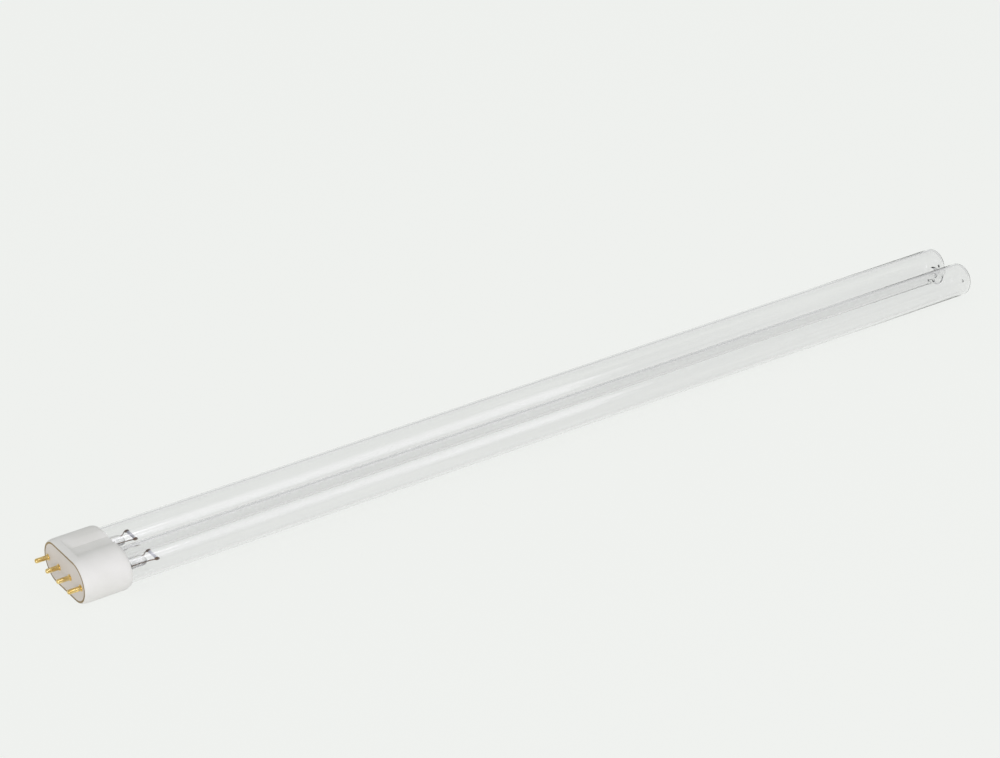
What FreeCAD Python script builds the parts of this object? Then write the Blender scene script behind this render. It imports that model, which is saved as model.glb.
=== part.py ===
import FreeCAD, Part
import math
import os
import Sketcher

# Twin-limb germicidal discharge lamp with one base at its near end.
# Millimetres. X runs along the lamp from the base face to the far glass ends, so the pins point to -X.
# The limbs lie side by side along Y, the front limb at -Y, and Z is the thin way through the lamp.

Vector = FreeCAD.Vector
doc = FreeCAD.newDocument("GermicidalLamp")

DRIVING_SIZES = [
    ("glass_reach", 535.0, "base face to the far end of the glass"),
    ("tube_diameter", 17.5, "outside of each limb"),
    ("glass_wall", 1.0, "wall of the limbs"),
    ("limb_gap", 3.9, "clear gap between the limbs"),
    ("dome_radius", 25.0, "flat dome that closes each limb"),
    ("dome_corner", 3.5, "rounded corner between dome and limb"),
    ("dome_bore_radius", 14.0, "inside of the dome"),
    ("bridge_diameter", 8.0, "outside of the bridge between the limbs"),
    ("bridge_wall", 1.2, "wall of the bridge"),
    ("bridge_setback", 11.0, "far end of the glass to the bridge axis"),
    ("glass_start", 12.0, "base face to the near ends of the limbs"),
    ("flare_length", 4.5, "flare that closes a limb, from its rim to the stem tube"),
    ("flare_rim", 1.35, "fused rim of limb and flare"),
    ("base_length", 24.8, "base face to the rear lips of the barrels"),
    ("collar_length", 3.0, "tapered rear collar"),
    ("barrel_wall", 2.25, "barrel wall over a socket"),
    ("barrel_inset", 0.87, "barrel axis nearer the middle than the limb axis"),
    ("lip_wall", 0.5, "wall of the collar at its rear lip"),
    ("socket_clearance", 0.35, "gap for cement round a limb"),
    ("pin_margin", 4.2, "outermost pin axis to the base side, at least"),
    ("rim_width", 1.05, "front rim from the recess to the foot of the taper"),
    ("rim_flat", 0.15, "flat of the front rim"),
    ("rim_depth", 3.8, "length of the front taper"),
    ("valley_start", 3.6, "base face to the valley"),
    ("valley_depth", 2.15, "barrel crest to the valley floor"),
    ("cavity_clearance", 0.3, "outermost pins to the ends of the wiring cavity"),
    ("cavity_height", 9.0, "wiring cavity from floor to roof"),
    ("plate_thickness", 2.2, "end plate"),
    ("glue_width", 0.4, "gap round the end plate"),
    ("glue_recess", 0.25, "bead surface below the base face"),
    ("glue_depth", 1.5, "depth of the bead"),
    ("film_gap", 0.02, "gap beside glue, cement and seated glass"),
    ("pin_pitch", 11.0, "pin to pin"),
    ("pin_diameter", 2.35, "contact pin"),
    ("pin_length", 6.9, "base face to the pin tip"),
    ("pin_bevel", 0.5, "bevel round the tip"),
    ("grip_diameter", 2.6, "eight-sided grip of a pin, across its corners"),
    ("grip_clearance", 0.03, "grip to its hole in the plate"),
    ("grip_tail", 1.6, "grip behind the plate"),
    ("stem_length", 24.3, "limb end to the tip of the press"),
    ("stem_offset", 0.2, "stem axis off the limb axis, towards +Y"),
    ("stem_diameter", 8.8, "stem tube"),
    ("stem_wall", 0.8, "stem tube"),
    ("press_width", 8.4, "flat press across its sides"),
    ("press_thickness", 2.4, "flat press"),
    ("press_length", 8.0, "flat press"),
    ("press_run", 4.5, "taper from stem tube to press"),
    ("press_round", 2.0, "rounded corners of the press tip"),
    ("exhaust_diameter", 3.0, "sealed exhaust tube inside the stem"),
    ("exhaust_tail", 5.5, "exhaust tube behind the limb end"),
    ("wire_diameter", 0.6, "lead-in wires, across their corners"),
    ("wire_clearance", 0.04, "wire to the glass"),
    ("wire_spacing", 5.8, "wires in a press"),
    ("wire_gap", 0.03, "back of a pin to the wire soldered to it"),
    ("wire_straight", 1.0, "straight wire behind a pin and beside a press"),
    ("coil_distance", 5.1, "press tip to the coil's legs"),
    ("coil_offset", 1.0, "coil centre off the stem axis, towards +Y"),
    ("coil_pitch", 0.85, "coil turn to turn"),
    ("coil_turns", 8, "turns of a coil"),
    ("coil_diameter", 0.95, "mean diameter of a coil"),
    ("coil_wire", 0.22, "coil wire, across its flat sides"),
    ("clamp_width", 1.0, "clamp along the coil"),
    ("clamp_gap", 0.3, "clamp to the first turn"),
    ("clamp_height", 1.1, "clamp over its fold"),
    ("clamp_lap", 1.6, "clamp ahead of the coil's leg"),
    ("clamp_end", 0.55, "clamp behind the coil's leg"),
    ("slot_length", 0.7, "slot inside the fold, ahead of the coil's leg"),
    ("slot_clearance", 0.03, "coil leg to the fold"),
    ("cement_start", 2.5, "limb end to the cement"),
    ("cement_length", 8.0, "cement along a limb"),
    ("cement_angle", 76, "degrees of a limb's outer side that the cement holds"),
    ("pellet_diameter", 1.5, "amalgam pellet"),
    ("pellet_thickness", 0.5, "amalgam pellet"),
    ("pellet_place", 9.0, "limb end to the amalgam pellet"),
]

sheet = doc.addObject("Spreadsheet::Sheet", "dims")
for row, (alias, size, note) in enumerate(DRIVING_SIZES, start=1):
    sheet.set("A%d" % row, note)
    sheet.set("B%d" % row, str(size))
    sheet.setAlias("B%d" % row, alias)
doc.recompute()

# Places and sizes that several pieces share, as formulas of the sheet
LIMB_RADIUS = "(dims.tube_diameter / 2)"
LIMB_BORE = "(dims.tube_diameter / 2 - dims.glass_wall)"
LIMB_AXIS = "((dims.tube_diameter + dims.limb_gap) / 2)"
GLASS_START = "dims.glass_start"
SOCKET_RADIUS = "(%s + dims.socket_clearance)" % LIMB_RADIUS
SOCKET_FLOOR = "(dims.glass_start - dims.film_gap)"
BARREL_RADIUS = "(%s + dims.barrel_wall)" % SOCKET_RADIUS
BARREL_AXIS = "max(%s - dims.barrel_inset; 1.5 * dims.pin_pitch + dims.pin_margin - %s)" % (LIMB_AXIS, BARREL_RADIUS)
SHOULDER = "(dims.base_length - dims.collar_length)"
RECESS_RADIUS = "(%s - dims.rim_width - dims.rim_flat)" % BARREL_RADIUS
PLATE_RADIUS = "(%s - dims.glue_width)" % RECESS_RADIUS
FLOOR_HEIGHT = "(%s - dims.valley_depth)" % BARREL_RADIUS
PIN_RADIUS = "(dims.pin_diameter / 2)"
PIN_REAR = "(dims.plate_thickness + dims.grip_tail)"
STEM_START = "(%s + dims.flare_length)" % GLASS_START
STEM_RADIUS = "(dims.stem_diameter / 2)"
STEM_BORE = "(dims.stem_diameter / 2 - dims.stem_wall)"
STEM_REACH = "(dims.stem_length - dims.flare_length)"
PRESS_START = "(%s - dims.press_length)" % STEM_REACH
TAPER_START = "(%s - dims.press_run)" % PRESS_START
PRESS_TIP = "(%s + dims.stem_length)" % GLASS_START
COIL_PLACE = "(%s + dims.coil_distance)" % PRESS_TIP
COIL_LENGTH = "(dims.coil_turns * dims.coil_pitch)"
CLAMP_SPACING = "(%s + dims.coil_wire + 2 * dims.clamp_gap + dims.clamp_width)" % COIL_LENGTH

# Facets of the small pieces that repeat or stay hidden
WIRE_SIDES = 6
ROD_SIDES = 8
COIL_SIDES = 4
COIL_STROKES = 6
CEMENT_FACETS = 6


def amount(owner, formula):
    return float(owner.evalExpression(formula))


def new_body(label):
    body = doc.addObject("PartDesign::Body", label)
    body.Label = label
    return body


def origin_plane(body, role):
    return next(item for item in body.Origin.OriginFeatures if item.Role == role)


def new_sketch(body, name, role, offset=None):
    sketch = body.newObject("Sketcher::SketchObject", name)
    sketch.AttachmentSupport = [(origin_plane(body, role), "")]
    sketch.MapMode = "FlatFace"
    if offset:
        sketch.setExpression("AttachmentOffset.Base.z", offset)
    return sketch


def tie(sketch, kind, parts, formula):
    index = sketch.addConstraint(Sketcher.Constraint(kind, *parts, amount(sketch, formula)))
    sketch.setExpression("Constraints[%d]" % index, formula)


def locate(sketch, point, across, up):
    """Tie a point to the formulas of its two coordinates; None leaves one free."""
    for kind, axis, formula in (("DistanceX", -2, across), ("DistanceY", -1, up)):
        if formula == "0":
            sketch.addConstraint(Sketcher.Constraint("PointOnObject", *point, axis))
        elif formula:
            tie(sketch, kind, (-1, 1) + point, formula)


def spot(sketch, across, up):
    return Vector(amount(sketch, across), amount(sketch, up), 0)


def draw_chain(sketch, corners, closed):
    """Straight lines from corner to corner, given as formula pairs."""
    points = [spot(sketch, *corner) for corner in corners]
    count = len(points) if closed else len(points) - 1
    lines = [
        sketch.addGeometry(Part.LineSegment(points[i], points[(i + 1) % len(points)]), False)
        for i in range(count)
    ]
    for before, after in zip(lines, lines[1:]):
        sketch.addConstraint(Sketcher.Constraint("Coincident", before, 2, after, 1))
    if closed:
        sketch.addConstraint(Sketcher.Constraint("Coincident", lines[-1], 2, lines[0], 1))
    else:
        locate(sketch, (lines[-1], 2), *corners[-1])
    for line, corner in zip(lines, corners):
        locate(sketch, (line, 1), *corner)
    return lines


def round_corner(sketch, line, radius):
    """Round the corner at a line's end and tie the radius."""
    sketch.fillet(line, 2, amount(sketch, radius), True, True)
    arc = max(i for i, item in enumerate(sketch.Geometry) if isinstance(item, Part.ArcOfCircle))
    tie(sketch, "Radius", (arc,), radius)


def draw_circle(sketch, radius, across="0", up="0", guide=False):
    circle = Part.Circle(spot(sketch, across, up), Vector(0, 0, 1), amount(sketch, radius))
    number = sketch.addGeometry(circle, guide)
    tie(sketch, "Radius", (number,), radius)
    locate(sketch, (number, 3), across, up)
    return number


def draw_polygon(sketch, sides, radius, across="0", up="0"):
    """Regular polygon on a guide circle, with one side upright."""
    circle = draw_circle(sketch, radius, across, up, True)
    centre, reach = spot(sketch, across, up), amount(sketch, radius)
    turns = [(2 * i + 1) * math.pi / sides for i in range(sides)]
    points = [centre + Vector(math.cos(turn), math.sin(turn), 0) * reach for turn in turns]
    lines = [sketch.addGeometry(Part.LineSegment(points[i - 1], points[i]), False) for i in range(sides)]
    for i in range(sides):
        sketch.addConstraint(Sketcher.Constraint("Coincident", lines[i - 1], 2, lines[i], 1))
        sketch.addConstraint(Sketcher.Constraint("PointOnObject", lines[i], 1, circle))
    for line in lines[1:]:
        sketch.addConstraint(Sketcher.Constraint("Equal", lines[0], line))
    sketch.addConstraint(Sketcher.Constraint("Vertical", lines[0]))


def draw_arc(sketch, centre, radius, start, end):
    """Arc about a centre point, from one angle to another in radians."""
    circle = Part.Circle(centre, Vector(0, 0, 1), radius)
    return sketch.addGeometry(Part.ArcOfCircle(circle, start, end), False)


def draw_stadium(sketch, spread, radius):
    """Outline with round ends about centres at plus and minus spread."""
    s, r = amount(sketch, spread), amount(sketch, radius)
    right = draw_arc(sketch, Vector(s, 0, 0), r, -math.pi / 2, math.pi / 2)
    left = draw_arc(sketch, Vector(-s, 0, 0), r, math.pi / 2, 3 * math.pi / 2)
    top = sketch.addGeometry(Part.LineSegment(Vector(s, r, 0), Vector(-s, r, 0)), False)
    bottom = sketch.addGeometry(Part.LineSegment(Vector(-s, -r, 0), Vector(s, -r, 0)), False)
    for parts in ((right, 2, top, 1), (top, 2, left, 1), (left, 2, bottom, 1), (bottom, 2, right, 1)):
        sketch.addConstraint(Sketcher.Constraint("Tangent", *parts))
    sketch.addConstraint(Sketcher.Constraint("Equal", right, left))
    tie(sketch, "Radius", (right,), radius)
    locate(sketch, (right, 3), spread, "0")
    locate(sketch, (left, 3), "-(%s)" % spread, "0")


def sketch_feature(body, kind, name, sketch, **settings):
    feature = body.newObject("PartDesign::" + kind, name)
    feature.Profile = sketch
    for key, setting in settings.items():
        setattr(feature, key, setting)
    sketch.Visibility = False
    return feature


def pad(body, name, sketch, length, **settings):
    feature = sketch_feature(body, "Pad", name, sketch, **settings)
    feature.setExpression("Length", length)
    return feature


def volume_of(body):
    doc.recompute()
    return body.Shape.Volume


def check_cut(body, name, before):
    if not volume_of(body) < before - 1e-6:
        raise RuntimeError("%s of %s took nothing away" % (name, body.Label))


def pocket(body, name, sketch, length=None, **settings):
    """Pocket, through all without a length, that must take material away."""
    before = volume_of(body)
    feature = sketch_feature(body, "Pocket", name, sketch, **settings)
    if length:
        feature.setExpression("Length", length)
    else:
        feature.Type = "ThroughAll"
    check_cut(body, name, before)
    return feature


def mirrored(body, name, features, role):
    feature = body.newObject("PartDesign::Mirrored", name)
    feature.Originals = features
    feature.MirrorPlane = (origin_plane(body, role), [""])
    body.Tip = feature
    return feature


def limb_profile(sketch, points, reach):
    """Half section of a limb: straight runs through the points, then the dome's arc down to the axis."""
    lines = draw_chain(sketch, points, False)
    last, end = spot(sketch, *points[-1]), amount(sketch, reach)
    radius = ((end - last.x) ** 2 + last.y ** 2) / (2 * (end - last.x))
    rise = math.asin(last.y / radius)
    dome = draw_arc(sketch, Vector(end - radius, 0, 0), radius, 0, rise)
    axis = sketch.addGeometry(Part.LineSegment(Vector(end, 0, 0), spot(sketch, *points[0])), False)
    for parts in ((lines[-1], 2, dome, 2), (dome, 1, axis, 1), (axis, 2, lines[0], 1)):
        sketch.addConstraint(Sketcher.Constraint("Coincident", *parts))
    sketch.addConstraint(Sketcher.Constraint("PointOnObject", dome, 3, -1))
    locate(sketch, (dome, 1), reach, "0")


def outer_corner_points():
    """Start, middle and end of the rounded corner between a limb and its dome."""
    dome_middle = "(dims.glass_reach - dims.dome_radius)"
    rise = "(%s - dims.dome_corner)" % LIMB_RADIUS
    run = "sqrt((dims.dome_radius - dims.dome_corner) ^ 2 - %s ^ 2)" % rise
    slope = "atan(%s / %s)" % (rise, run)
    points = []
    for turn in ("90 deg", "(90 deg + %s) / 2" % slope, slope):
        points.append((
            "%s + %s + dims.dome_corner * cos(%s)" % (dome_middle, run, turn),
            "%s + dims.dome_corner * sin(%s)" % (rise, turn),
        ))
    return points


def build_discharge_tube():
    """Two blown limbs with domed far ends and inturned flares, fused to one hollow bridge."""
    body = new_body("discharge_tube")
    outside = new_sketch(body, "LimbOutside", "XY_Plane")
    outside.setExpression("AttachmentOffset.Base.y", LIMB_AXIS)
    near_end = [(GLASS_START, "0"), (GLASS_START, LIMB_RADIUS)]
    limb_profile(outside, near_end + outer_corner_points(), "dims.glass_reach")
    limb = sketch_feature(body, "Revolution", "Limb", outside, ReferenceAxis=(outside, ["H_Axis"]), Angle=360)
    mirrored(body, "SecondLimb", [limb], "XZ_Plane")
    bridge_place = "dims.glass_reach - dims.bridge_setback"
    ring = new_sketch(body, "BridgeOutside", "XZ_Plane")
    draw_circle(ring, "dims.bridge_diameter / 2", bridge_place)
    pad(body, "Bridge", ring, "2 * " + LIMB_AXIS, SideType="Symmetric")
    inside = new_sketch(body, "LimbInside", "XY_Plane")
    inside.setExpression("AttachmentOffset.Base.y", LIMB_AXIS)
    bore_end = "(dims.glass_reach - dims.glass_wall)"
    bore_run = "sqrt(dims.dome_bore_radius ^ 2 - %s ^ 2)" % LIMB_BORE
    limb_profile(
        inside,
        [
            ("dims.glass_start - dims.glass_wall", "0"),
            (GLASS_START + " - dims.glass_wall", LIMB_RADIUS + " - dims.flare_rim"),
            (GLASS_START, LIMB_RADIUS + " - dims.flare_rim"),
            (STEM_START, STEM_BORE),
            (STEM_START, STEM_RADIUS),
            (GLASS_START + " + dims.glass_wall", LIMB_BORE),
            ("%s - dims.dome_bore_radius + %s" % (bore_end, bore_run), LIMB_BORE),
        ],
        bore_end,
    )
    before = volume_of(body)
    hollow = sketch_feature(body, "Groove", "Hollow", inside, ReferenceAxis=(inside, ["H_Axis"]), Angle=360)
    check_cut(body, "Hollow", before)
    mirrored(body, "SecondHollow", [hollow], "XZ_Plane")
    bore = new_sketch(body, "BridgeInside", "XZ_Plane")
    draw_circle(bore, "dims.bridge_diameter / 2 - dims.bridge_wall", bridge_place)
    pocket(body, "BridgeBore", bore, "2 * " + LIMB_AXIS, SideType="Symmetric")
    return body


def build_stem(label, limb_axis):
    """Stem tube that continues the flare, pinched to a flat press round two wires, with its exhaust tube."""
    body = new_body(label)
    body.setExpression("Placement.Base.x", STEM_START)
    body.setExpression("Placement.Base.y", limb_axis + " + dims.stem_offset")
    section = new_sketch(body, "TubeSection", "YZ_Plane")
    draw_circle(section, STEM_RADIUS)
    pad(body, "Glass", section, STEM_REACH)
    beyond = STEM_REACH + " + dims.stem_wall"
    above = STEM_RADIUS + " + dims.stem_wall"
    half = "dims.press_thickness / 2"
    flats = new_sketch(body, "PressFlats", "XZ_Plane")
    corners = [
        (TAPER_START, STEM_RADIUS),
        (PRESS_START, half),
        (beyond, half),
        (beyond, above),
        (TAPER_START, above),
    ]
    draw_chain(flats, corners, True)
    flat = pocket(body, "PressTop", flats, "2 * dims.stem_diameter", SideType="Symmetric")
    mirrored(body, "PressBottom", [flat], "XY_Plane")
    side = "dims.press_width / 2"
    inward = side + " - 1.5 * dims.press_round"
    edges = new_sketch(body, "PressSides", "XY_Plane")
    corners = [
        (PRESS_START, side),
        (STEM_REACH, side),
        (STEM_REACH, inward),
        (beyond, inward),
        (beyond, above),
        (PRESS_START, above),
    ]
    lines = draw_chain(edges, corners, True)
    round_corner(edges, lines[0], "dims.press_round")
    trim = pocket(body, "PressSide", edges, "2 * dims.stem_diameter", SideType="Symmetric")
    mirrored(body, "SecondPressSide", [trim], "XZ_Plane")
    inside = new_sketch(body, "StemInside", "YZ_Plane")
    draw_circle(inside, STEM_BORE)
    pocket(body, "StemBore", inside, TAPER_START, Reversed=True)
    tail = "(dims.flare_length + dims.exhaust_tail)"
    exhaust = new_sketch(body, "ExhaustSection", "YZ_Plane", "-" + tail)
    draw_polygon(exhaust, ROD_SIDES, "dims.exhaust_diameter / 2")
    pad(body, "ExhaustTube", exhaust, "%s + %s + dims.stem_wall" % (tail, TAPER_START))
    bores = new_sketch(body, "WireBores", "YZ_Plane")
    for sign in ("", "-"):
        place = sign + "dims.wire_spacing / 2"
        draw_polygon(bores, WIRE_SIDES, "dims.wire_diameter / 2 + dims.wire_clearance", place)
    pocket(body, "WireBore", bores, Reversed=True)
    return body


def build_lead_wire(label, limb_axis, pin_place, side):
    """Wire from the back of a pin, through the press, to a folded clamp on the coil's leg."""
    body = new_body(label)
    stem_axis = limb_axis + " + dims.stem_offset"
    in_press = "%s + %d * dims.wire_spacing / 2" % (stem_axis, side)
    in_clamp = "%s + dims.coil_offset + %d * %s / 2" % (stem_axis, side, CLAMP_SPACING)
    start = PIN_REAR + " + dims.wire_gap"
    clamp_start = COIL_PLACE + " - dims.clamp_lap"
    clamp_stop = COIL_PLACE + " + dims.clamp_end"
    route = new_sketch(body, "Route", "XY_Plane")
    corners = [
        (start, pin_place),
        (start + " + dims.wire_straight", pin_place),
        (STEM_START + " - dims.wire_straight", in_press),
        (PRESS_TIP + " + dims.wire_straight", in_press),
        (clamp_start + " - dims.wire_straight / 2", in_clamp),
        (clamp_start + " + dims.wire_straight / 2", in_clamp),
    ]
    lines = draw_chain(route, corners, False)
    section = new_sketch(body, "Section", "YZ_Plane", start)
    draw_polygon(section, WIRE_SIDES, "dims.wire_diameter / 2", pin_place)
    doc.recompute()
    wire = sketch_feature(body, "AdditivePipe", "Wire", section, Transition="Right corner")
    wire.Spine = (route, ["Edge%d" % (i + 1) for i in range(len(lines))])
    height = "dims.clamp_height / 2"
    fold = new_sketch(body, "Fold", "XZ_Plane", "-(%s)" % in_clamp)
    corners = [(clamp_start, "-" + height), (clamp_stop, "-" + height), (clamp_stop, height), (clamp_start, height)]
    draw_chain(fold, corners, True)
    pad(body, "Clamp", fold, "dims.clamp_width", SideType="Symmetric")
    half = "(dims.coil_wire / sqrt(2) + dims.slot_clearance)"
    slot_start = COIL_PLACE + " - dims.slot_length"
    slot_stop = "%s + %s" % (COIL_PLACE, half)
    slot = new_sketch(body, "Slot", "XZ_Plane", "-(%s)" % in_clamp)
    corners = [(slot_start, "-" + half), (slot_stop, "-" + half), (slot_stop, half), (slot_start, half)]
    draw_chain(slot, corners, True)
    pocket(body, "FoldSlot", slot, "2 * dims.clamp_width", SideType="Symmetric")
    return body


def build_filament(label, limb_axis):
    """Coiled electrode along Y, with a straight leg at each end that a clamp holds."""
    middle = "%s + dims.stem_offset + dims.coil_offset" % limb_axis
    pitch, turns, length = sheet.coil_pitch, int(sheet.coil_turns), amount(sheet, COIL_LENGTH)
    radius, corner = sheet.coil_diameter / 2, sheet.coil_wire / math.sqrt(2)
    leg = amount(sheet, "(%s - %s + dims.clamp_width) / 2" % (CLAMP_SPACING, COIL_LENGTH))
    points = [Vector(0, -leg, 0), Vector(0, 0, 0)]
    for stroke in range(1, turns * COIL_STROKES):
        turn = 2 * math.pi * stroke / COIL_STROKES
        rise = pitch * stroke / COIL_STROKES
        points.append(Vector(radius * (math.cos(turn) - 1), rise, radius * math.sin(turn)))
    points += [Vector(0, length, 0), Vector(0, length + leg, 0)]
    turns_of_corners = [2 * math.pi * (side + 0.5) / COIL_SIDES for side in range(COIL_SIDES + 1)]
    outline = [
        points[0] + Vector(corner * math.cos(turn), 0, corner * math.sin(turn)) for turn in turns_of_corners
    ]
    coil = doc.addObject("Part::Feature", label)
    coil.Label = label
    coil.Shape = Part.makePolygon(points).makePipeShell([Part.makePolygon(outline)], True, False, 1)
    coil.setExpression("Placement.Base.x", COIL_PLACE)
    coil.setExpression("Placement.Base.y", "%s - %s / 2" % (middle, COIL_LENGTH))
    return coil


def build_contact_pin(label, pin_place):
    """Round pin with an eight-sided grip that keeps it from turning in the plate."""
    body = new_body(label)
    body.setExpression("Placement.Base.y", pin_place)
    outside = new_sketch(body, "PinOutside", "XY_Plane")
    corners = [
        ("-dims.pin_length", "0"),
        ("-dims.pin_length", PIN_RADIUS + " - dims.pin_bevel"),
        ("dims.pin_bevel - dims.pin_length", PIN_RADIUS),
        ("0", PIN_RADIUS),
        ("0", "0"),
    ]
    draw_chain(outside, corners, True)
    sketch_feature(body, "Revolution", "Pin", outside, ReferenceAxis=(outside, ["H_Axis"]), Angle=360)
    grip = new_sketch(body, "GripSection", "YZ_Plane")
    draw_polygon(grip, ROD_SIDES, "dims.grip_diameter / 2")
    pad(body, "Grip", grip, PIN_REAR)
    return body


def build_end_plate():
    """Stadium-shaped plate that carries the four pins."""
    body = new_body("base_end_plate")
    outline = new_sketch(body, "PlateOutline", "YZ_Plane")
    draw_stadium(outline, BARREL_AXIS, PLATE_RADIUS)
    pad(body, "Plate", outline, "dims.plate_thickness")
    hole = new_sketch(body, "GripHole", "YZ_Plane")
    draw_polygon(hole, ROD_SIDES, "dims.grip_diameter / 2 + dims.grip_clearance", "-1.5 * dims.pin_pitch")
    first = pocket(body, "FirstHole", hole, Reversed=True)
    row_of_holes = body.newObject("PartDesign::LinearPattern", "PinHoles")
    row_of_holes.Originals = [first]
    row_of_holes.Direction = (hole, ["H_Axis"])
    row_of_holes.setExpression("Length", "3 * dims.pin_pitch")
    row_of_holes.Occurrences = 4
    body.Tip = row_of_holes
    return body


def build_adhesive():
    """Bead that fills the gap round the end plate."""
    body = new_body("end_plate_adhesive")
    outline = new_sketch(body, "BeadOutline", "YZ_Plane", "dims.glue_recess")
    draw_stadium(outline, BARREL_AXIS, RECESS_RADIUS + " - dims.film_gap")
    draw_stadium(outline, BARREL_AXIS, PLATE_RADIUS + " + dims.film_gap")
    pad(body, "Bead", outline, "dims.glue_depth")
    return body


def valley_profile(sketch):
    """Space between the barrels above the valley floor."""
    spread, radius, floor = (amount(sketch, item) for item in (BARREL_AXIS, BARREL_RADIUS, FLOOR_HEIGHT))
    lid = BARREL_RADIUS + " + dims.valley_depth"
    top = amount(sketch, lid)
    turn = math.acos(floor / radius)
    edge = spread - radius * math.sin(turn)
    right = draw_arc(sketch, Vector(spread, 0, 0), radius, math.pi / 2, math.pi / 2 + turn)
    left = draw_arc(sketch, Vector(-spread, 0, 0), radius, math.pi / 2 - turn, math.pi / 2)
    base, up_left, across, up_right = (
        sketch.addGeometry(Part.LineSegment(Vector(*start, 0), Vector(*end, 0)), False)
        for start, end in (
            ((edge, floor), (-edge, floor)),
            ((-spread, radius), (-spread, top)),
            ((-spread, top), (spread, top)),
            ((spread, top), (spread, radius)),
        )
    )
    for parts in (
        (right, 2, base, 1),
        (base, 2, left, 1),
        (left, 2, up_left, 1),
        (up_left, 2, across, 1),
        (across, 2, up_right, 1),
        (up_right, 2, right, 1),
    ):
        sketch.addConstraint(Sketcher.Constraint("Coincident", *parts))
    for kind, line in (("Horizontal", base), ("Vertical", up_left), ("Vertical", up_right)):
        sketch.addConstraint(Sketcher.Constraint(kind, line))
    for arc, place in ((right, BARREL_AXIS), (left, "-(%s)" % BARREL_AXIS)):
        tie(sketch, "Radius", (arc,), BARREL_RADIUS)
        locate(sketch, (arc, 3), place, "0")
    locate(sketch, (base, 1), None, FLOOR_HEIGHT)
    locate(sketch, (across, 1), "-(%s)" % BARREL_AXIS, lid)
    locate(sketch, (across, 2), BARREL_AXIS, lid)


def front_edges(feature):
    """Names of the feature's edges that lie in the plane X = 0."""
    names = []
    for number, edge in enumerate(feature.Shape.Edges, start=1):
        middle = edge.valueAt((edge.FirstParameter + edge.LastParameter) / 2)
        if all(abs(point.x) < 0.001 for point in [middle] + [vertex.Point for vertex in edge.Vertexes]):
            names.append("Edge%d" % number)
    return names


def build_housing():
    """Moulded shell: tapered front rim, two barrels with a valley between them, tapered collar and sockets."""
    body = new_body("base_housing")
    outline = new_sketch(body, "ShellOutline", "YZ_Plane")
    draw_stadium(outline, BARREL_AXIS, BARREL_RADIUS)
    shell = pad(body, "Shell", outline, SHOULDER)
    doc.recompute()
    taper = body.newObject("PartDesign::Chamfer", "FrontTaper")
    taper.Base = (shell, front_edges(shell))
    taper.ChamferType = "Two distances"
    taper.setExpression("Size", "dims.rim_depth")
    taper.setExpression("Size2", "dims.rim_width")
    body.Tip = taper
    foot = new_sketch(body, "CollarFoot", "YZ_Plane", SHOULDER)
    draw_stadium(foot, BARREL_AXIS, BARREL_RADIUS)
    lip = new_sketch(body, "CollarLip", "YZ_Plane", "dims.base_length")
    draw_stadium(lip, LIMB_AXIS, SOCKET_RADIUS + " + dims.lip_wall")
    doc.recompute()
    sketch_feature(body, "AdditiveLoft", "Collar", foot, Sections=[(lip, [""])])
    valley = new_sketch(body, "ValleySection", "YZ_Plane", "dims.valley_start")
    valley_profile(valley)
    cut = pocket(body, "Valley", valley, "dims.base_length", Reversed=True)
    mirrored(body, "LowerValley", [cut], "XY_Plane")
    recess = new_sketch(body, "PlateRecess", "YZ_Plane")
    draw_stadium(recess, BARREL_AXIS, RECESS_RADIUS)
    pocket(body, "Recess", recess, "dims.plate_thickness", Reversed=True)
    side = "(1.5 * dims.pin_pitch + %s + dims.cavity_clearance)" % PIN_RADIUS
    half = "dims.cavity_height / 2"
    room = new_sketch(body, "CavitySection", "YZ_Plane")
    draw_chain(room, [("-" + side, "-" + half), (side, "-" + half), (side, half), ("-" + side, half)], True)
    pocket(body, "Cavity", room, SOCKET_FLOOR, Reversed=True)
    rings = new_sketch(body, "SocketRings", "YZ_Plane", SOCKET_FLOOR)
    for sign in ("", "-"):
        draw_circle(rings, SOCKET_RADIUS, sign + LIMB_AXIS)
    pocket(body, "Socket", rings, Reversed=True)
    return body


def build_cement(label, limb_axis, turn):
    """Basing cement between the outer side of a limb and its socket; the turn about X picks the side."""
    body = new_body(label)
    body.Placement = FreeCAD.Placement(Vector(), FreeCAD.Rotation(Vector(1, 0, 0), turn))
    body.setExpression("Placement.Base.y", limb_axis)
    section = new_sketch(body, "CementSection", "YZ_Plane", GLASS_START + " + dims.cement_start")
    step = "dims.cement_angle / %d * 1 deg" % CEMENT_FACETS
    inner = "(%s + dims.film_gap) / cos(%s / 2)" % (LIMB_RADIUS, step)
    outer = "(%s - dims.film_gap)" % SOCKET_RADIUS
    steps = range(-CEMENT_FACETS // 2, CEMENT_FACETS // 2 + 1)
    corners = [("%s * cos(%d * %s)" % (inner, i, step), "%s * sin(%d * %s)" % (inner, i, step)) for i in steps]
    corners += [
        ("%s * cos(%d * %s)" % (outer, i, step), "%s * sin(%d * %s)" % (outer, i, step)) for i in reversed(steps)
    ]
    draw_chain(section, corners, True)
    pad(body, "Cement", section, "dims.cement_length")
    return body


def build_amalgam_pellet():
    """Pellet that lies on the inside of the front limb, beside its stem."""
    body = new_body("amalgam_pellet")
    radius = "dims.pellet_diameter / 2"
    body.setExpression("Placement.Base.x", GLASS_START + " + dims.pellet_place")
    body.setExpression("Placement.Base.y", "-" + LIMB_AXIS)
    body.setExpression("Placement.Base.z", "dims.film_gap - sqrt(%s ^ 2 - (%s) ^ 2)" % (LIMB_BORE, radius))
    outline = new_sketch(body, "PelletOutline", "XY_Plane")
    draw_polygon(outline, ROD_SIDES, radius)
    pad(body, "Pellet", outline, "dims.pellet_thickness")
    return body


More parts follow.
